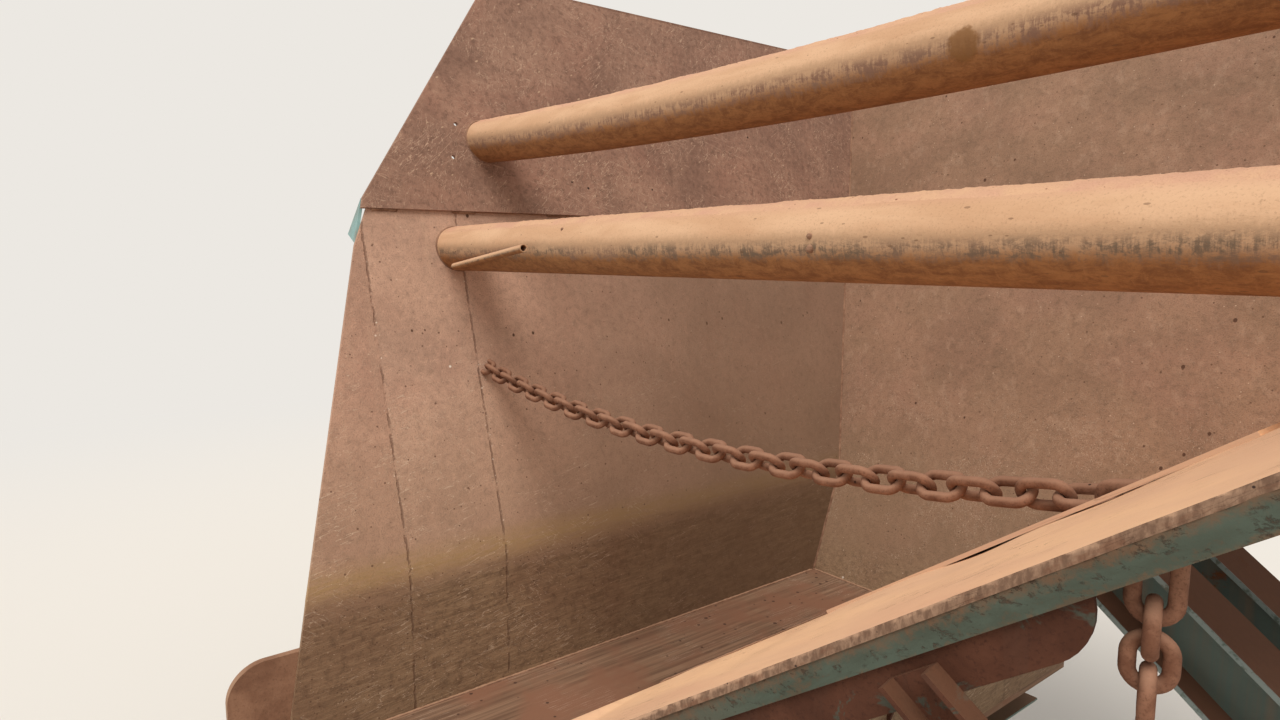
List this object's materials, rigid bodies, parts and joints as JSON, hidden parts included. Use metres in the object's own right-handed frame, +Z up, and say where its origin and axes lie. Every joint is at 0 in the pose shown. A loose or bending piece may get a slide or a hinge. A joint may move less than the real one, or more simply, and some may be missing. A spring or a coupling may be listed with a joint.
{
  "type": "crusher feed hopper",
  "caption": "Steel feed hopper for a jaw crusher: flared side plates on raking beams, a pan, two cross pipes and a chain across the mouth.",
  "frame": {"origin": "bottom centre of the bounding box, on the ground", "axes": "+Z up, +X from the steep far wall to the shallow near wall, +Y from the crusher end to the dump end"},
  "size_m": [4.6058, 4.3214, 4.225],
  "materials": {
    "teal_paint": "worn teal paint with rust runs and dust",
    "dark_plate": "dark rusted plate, scuffed",
    "pipe_rust": "rusted pipe under ochre dust",
    "chain_iron": "rusted chain rubbed smooth",
    "rust_web": "brown rust with paint left in patches",
    "dusty_plate": "plate under thick tan dust",
    "worn_plate": "rusted plate, rubbed and dusty"
  },
  "bodies": {
    "root": {"pan_floor": "worn_plate", "front_lip": "worn_plate", "front_flange": "teal_paint", "far_pan_beam": "teal_paint", "near_pan_beam": "teal_paint", "pan_cross_beams": "teal_paint", "far_legs": "teal_paint", "near_legs": "teal_paint", "far_cheek": "worn_plate", "near_cheek": "worn_plate", "far_front_patch": "worn_plate", "far_wall_plate": "worn_plate", "far_rear_plate": "worn_plate", "far_upper_plate": "dark_plate", "far_edge_gusset": "teal_paint", "far_ribs": "teal_paint", "far_posts": "teal_paint", "far_struts": "teal_paint", "far_rim": "dark_plate", "near_skirt": "worn_plate", "near_slope_plate": "dusty_plate", "near_liner": "dusty_plate", "near_upper_plate": "dark_plate", "near_edge_rib": "teal_paint", "near_front_web": "rust_web", "near_rear_webs": "rust_web", "near_beams_1": "teal_paint", "near_beams_2": "teal_paint", "near_beams_3": "teal_paint", "near_carrier": "teal_paint", "near_posts": "teal_paint", "near_knees": "teal_paint", "near_rim": "dark_plate", "back_plate": "worn_plate", "back_ribs": "teal_paint", "back_rim": "dark_plate", "lower_pipe": "pipe_rust", "upper_pipe": "pipe_rust", "stub_tube": "pipe_rust", "chain": "chain_iron", "chain_eye": "chain_iron", "chain_pin": "chain_iron", "chain_tail": "chain_iron"}
  },
  "joints": []
}
